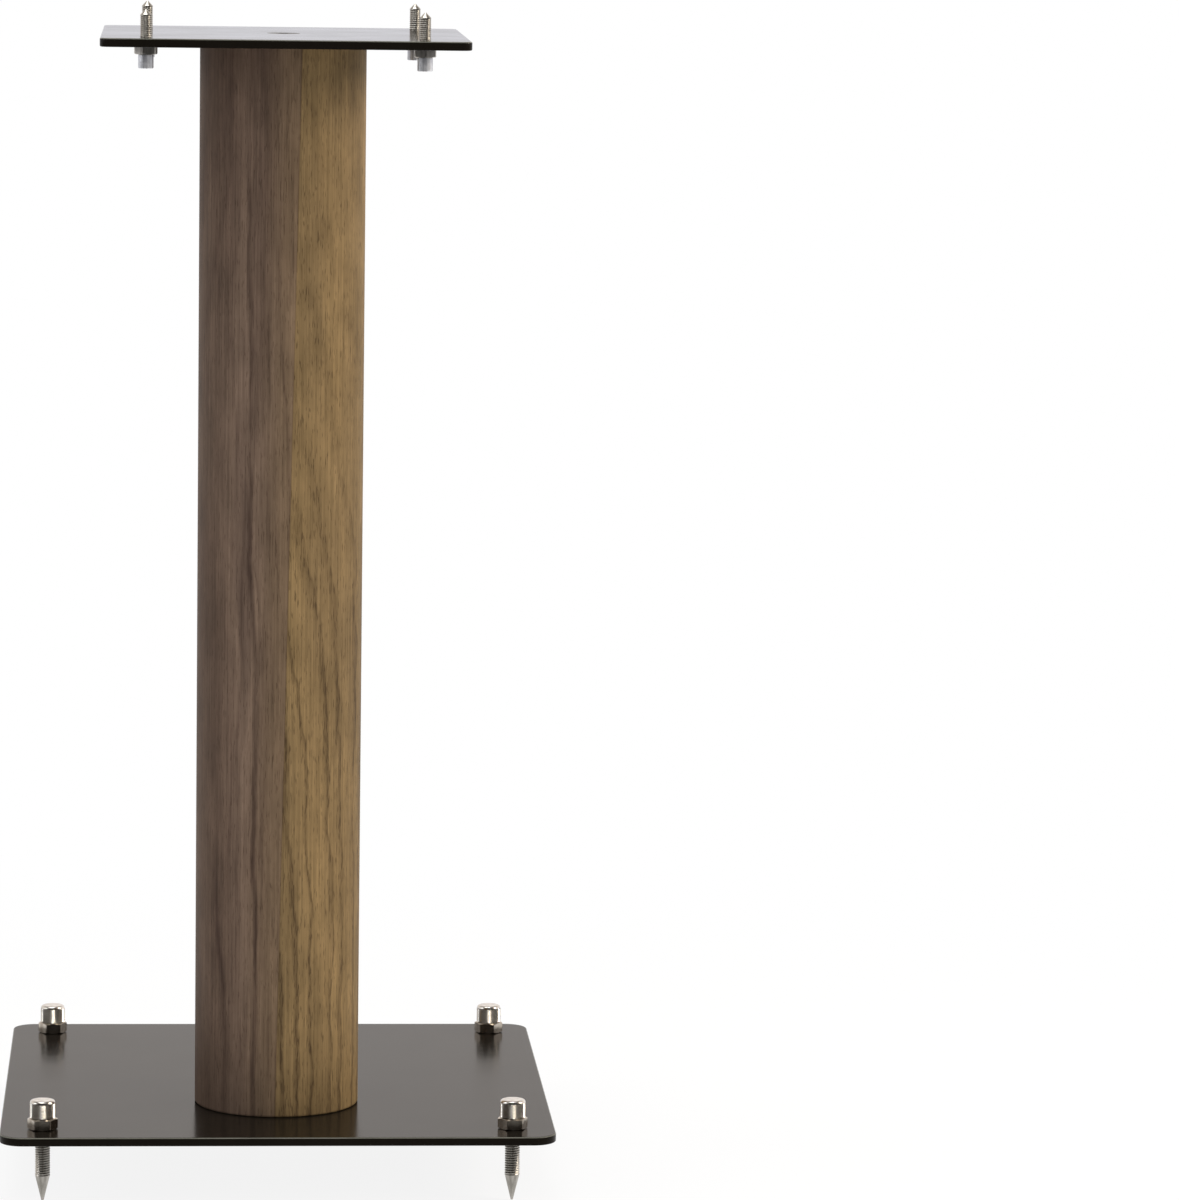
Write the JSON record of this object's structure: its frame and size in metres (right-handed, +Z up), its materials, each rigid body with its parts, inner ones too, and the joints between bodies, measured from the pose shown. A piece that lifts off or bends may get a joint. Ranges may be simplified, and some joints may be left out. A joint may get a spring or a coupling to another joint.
{
  "type": "speaker stand",
  "caption": "Floor-standing speaker stand: a square steel base on adjustable spikes, a round wooden column and a steel top plate whose own spikes carry the speaker.",
  "frame": {"origin": "on the floor, below the middle of the base plate", "axes": "+Z up along the column, -Y towards the front, +X to the right as seen from the front"},
  "size_m": [0.287, 0.287, 0.6138],
  "materials": {
    "satin_black": "satin black powder coat",
    "walnut": "walnut, satin lacquer",
    "nickel": "bright nickel plate",
    "black_oxide": "black oxide",
    "zinc": "zinc plate"
  },
  "bodies": {
    "stand": {"base_plate": "satin_black", "column": "walnut", "top_plate": "satin_black", "top_screw": "black_oxide", "top_insert": "zinc", "bottom_screw": "black_oxide", "bottom_insert": "zinc"},
    "floor_spike_front_left": {"floor_spike_front_left": "nickel"},
    "floor_spike_front_right": {"floor_spike_front_right": "nickel"},
    "floor_spike_back_left": {"floor_spike_back_left": "nickel"},
    "floor_spike_back_right": {"floor_spike_back_right": "nickel"},
    "floor_knob_front_left": {"floor_knob_front_left": "nickel"},
    "floor_knob_front_right": {"floor_knob_front_right": "nickel"},
    "floor_knob_back_left": {"floor_knob_back_left": "nickel"},
    "floor_knob_back_right": {"floor_knob_back_right": "nickel"},
    "floor_lock_nut_front_left": {"floor_lock_nut_front_left": "nickel"},
    "floor_lock_nut_front_right": {"floor_lock_nut_front_right": "nickel"},
    "floor_lock_nut_back_left": {"floor_lock_nut_back_left": "nickel"},
    "floor_lock_nut_back_right": {"floor_lock_nut_back_right": "nickel"},
    "top_spike_front_left": {"top_spike_front_left": "nickel"},
    "top_spike_front_right": {"top_spike_front_right": "nickel"},
    "top_spike_back_left": {"top_spike_back_left": "nickel"},
    "top_spike_back_right": {"top_spike_back_right": "nickel"},
    "top_spike_grip_front_left": {"top_spike_grip_front_left": "nickel"},
    "top_spike_grip_front_right": {"top_spike_grip_front_right": "nickel"},
    "top_spike_grip_back_left": {"top_spike_grip_back_left": "nickel"},
    "top_spike_grip_back_right": {"top_spike_grip_back_right": "nickel"},
    "top_lock_nut_front_left": {"top_lock_nut_front_left": "nickel"},
    "top_lock_nut_front_right": {"top_lock_nut_front_right": "nickel"},
    "top_lock_nut_back_left": {"top_lock_nut_back_left": "nickel"},
    "top_lock_nut_back_right": {"top_lock_nut_back_right": "nickel"}
  },
  "joints": [
    {"name": "floor_spike_front_left_height", "type": "slide", "parent": "stand", "child": "floor_spike_front_left", "axis": [0, 0, 1], "range_m": [0, 0.012]},
    {"name": "floor_spike_front_right_height", "type": "slide", "parent": "stand", "child": "floor_spike_front_right", "axis": [0, 0, 1], "range_m": [0, 0.012]},
    {"name": "floor_spike_back_left_height", "type": "slide", "parent": "stand", "child": "floor_spike_back_left", "axis": [0, 0, 1], "range_m": [0, 0.012]},
    {"name": "floor_spike_back_right_height", "type": "slide", "parent": "stand", "child": "floor_spike_back_right", "axis": [0, 0, 1], "range_m": [0, 0.012]},
    {"name": "floor_knob_front_left_turn", "type": "hinge", "parent": "floor_spike_front_left", "child": "floor_knob_front_left", "pos_m": [-0.1215, -0.1215, 0.044], "axis": [0, 0, 1], "range_deg": [0, 3456]},
    {"name": "floor_knob_front_right_turn", "type": "hinge", "parent": "floor_spike_front_right", "child": "floor_knob_front_right", "pos_m": [0.1215, -0.1215, 0.044], "axis": [0, 0, 1], "range_deg": [0, 3456]},
    {"name": "floor_knob_back_left_turn", "type": "hinge", "parent": "floor_spike_back_left", "child": "floor_knob_back_left", "pos_m": [-0.1215, 0.1215, 0.044], "axis": [0, 0, 1], "range_deg": [0, 3456]},
    {"name": "floor_knob_back_right_turn", "type": "hinge", "parent": "floor_spike_back_right", "child": "floor_knob_back_right", "pos_m": [0.1215, 0.1215, 0.044], "axis": [0, 0, 1], "range_deg": [0, 3456]},
    {"name": "floor_lock_nut_front_left_turn", "type": "hinge", "parent": "stand", "child": "floor_lock_nut_front_left", "pos_m": [-0.1215, -0.1215, 0.0382], "axis": [0, 0, 1], "range_deg": [0, 60]},
    {"name": "floor_lock_nut_front_right_turn", "type": "hinge", "parent": "stand", "child": "floor_lock_nut_front_right", "pos_m": [0.1215, -0.1215, 0.0382], "axis": [0, 0, 1], "range_deg": [0, 60]},
    {"name": "floor_lock_nut_back_left_turn", "type": "hinge", "parent": "stand", "child": "floor_lock_nut_back_left", "pos_m": [-0.1215, 0.1215, 0.0382], "axis": [0, 0, 1], "range_deg": [0, 60]},
    {"name": "floor_lock_nut_back_right_turn", "type": "hinge", "parent": "stand", "child": "floor_lock_nut_back_right", "pos_m": [0.1215, 0.1215, 0.0382], "axis": [0, 0, 1], "range_deg": [0, 60]},
    {"name": "top_spike_front_left_height", "type": "slide", "parent": "stand", "child": "top_spike_front_left", "axis": [0, 0, 1], "range_m": [-0.01, 0]},
    {"name": "top_spike_front_right_height", "type": "slide", "parent": "stand", "child": "top_spike_front_right", "axis": [0, 0, 1], "range_m": [-0.01, 0]},
    {"name": "top_spike_back_left_height", "type": "slide", "parent": "stand", "child": "top_spike_back_left", "axis": [0, 0, 1], "range_m": [-0.01, 0]},
    {"name": "top_spike_back_right_height", "type": "slide", "parent": "stand", "child": "top_spike_back_right", "axis": [0, 0, 1], "range_m": [-0.01, 0]},
    {"name": "top_spike_grip_front_left_turn", "type": "hinge", "parent": "top_spike_front_left", "child": "top_spike_grip_front_left", "pos_m": [-0.0705, -0.1205, 0.5909], "axis": [0, 0, 1], "range_deg": [-3600, 0]},
    {"name": "top_spike_grip_front_right_turn", "type": "hinge", "parent": "top_spike_front_right", "child": "top_spike_grip_front_right", "pos_m": [0.0705, -0.1205, 0.5909], "axis": [0, 0, 1], "range_deg": [-3600, 0]},
    {"name": "top_spike_grip_back_left_turn", "type": "hinge", "parent": "top_spike_back_left", "child": "top_spike_grip_back_left", "pos_m": [-0.0705, 0.0125, 0.5909], "axis": [0, 0, 1], "range_deg": [-3600, 0]},
    {"name": "top_spike_grip_back_right_turn", "type": "hinge", "parent": "top_spike_back_right", "child": "top_spike_grip_back_right", "pos_m": [0.0705, 0.0125, 0.5909], "axis": [0, 0, 1], "range_deg": [-3600, 0]},
    {"name": "top_lock_nut_front_left_turn", "type": "hinge", "parent": "stand", "child": "top_lock_nut_front_left", "pos_m": [-0.0705, -0.1205, 0.5912], "axis": [0, 0, 1], "range_deg": [-60, 0]},
    {"name": "top_lock_nut_front_right_turn", "type": "hinge", "parent": "stand", "child": "top_lock_nut_front_right", "pos_m": [0.0705, -0.1205, 0.5912], "axis": [0, 0, 1], "range_deg": [-60, 0]},
    {"name": "top_lock_nut_back_left_turn", "type": "hinge", "parent": "stand", "child": "top_lock_nut_back_left", "pos_m": [-0.0705, 0.0125, 0.5912], "axis": [0, 0, 1], "range_deg": [-60, 0]},
    {"name": "top_lock_nut_back_right_turn", "type": "hinge", "parent": "stand", "child": "top_lock_nut_back_right", "pos_m": [0.0705, 0.0125, 0.5912], "axis": [0, 0, 1], "range_deg": [-60, 0]}
  ],
  "couplings": [
    {"joint": "floor_knob_front_left_turn", "follows": "floor_spike_front_left_height", "rad_per_m": 5026.5},
    {"joint": "floor_knob_front_right_turn", "follows": "floor_spike_front_right_height", "rad_per_m": 5026.5},
    {"joint": "floor_knob_back_left_turn", "follows": "floor_spike_back_left_height", "rad_per_m": 5026.5},
    {"joint": "floor_knob_back_right_turn", "follows": "floor_spike_back_right_height", "rad_per_m": 5026.5},
    {"joint": "top_spike_grip_front_left_turn", "follows": "top_spike_front_left_height", "rad_per_m": 6283.2},
    {"joint": "top_spike_grip_front_right_turn", "follows": "top_spike_front_right_height", "rad_per_m": 6283.2},
    {"joint": "top_spike_grip_back_left_turn", "follows": "top_spike_back_left_height", "rad_per_m": 6283.2},
    {"joint": "top_spike_grip_back_right_turn", "follows": "top_spike_back_right_height", "rad_per_m": 6283.2}
  ]
}
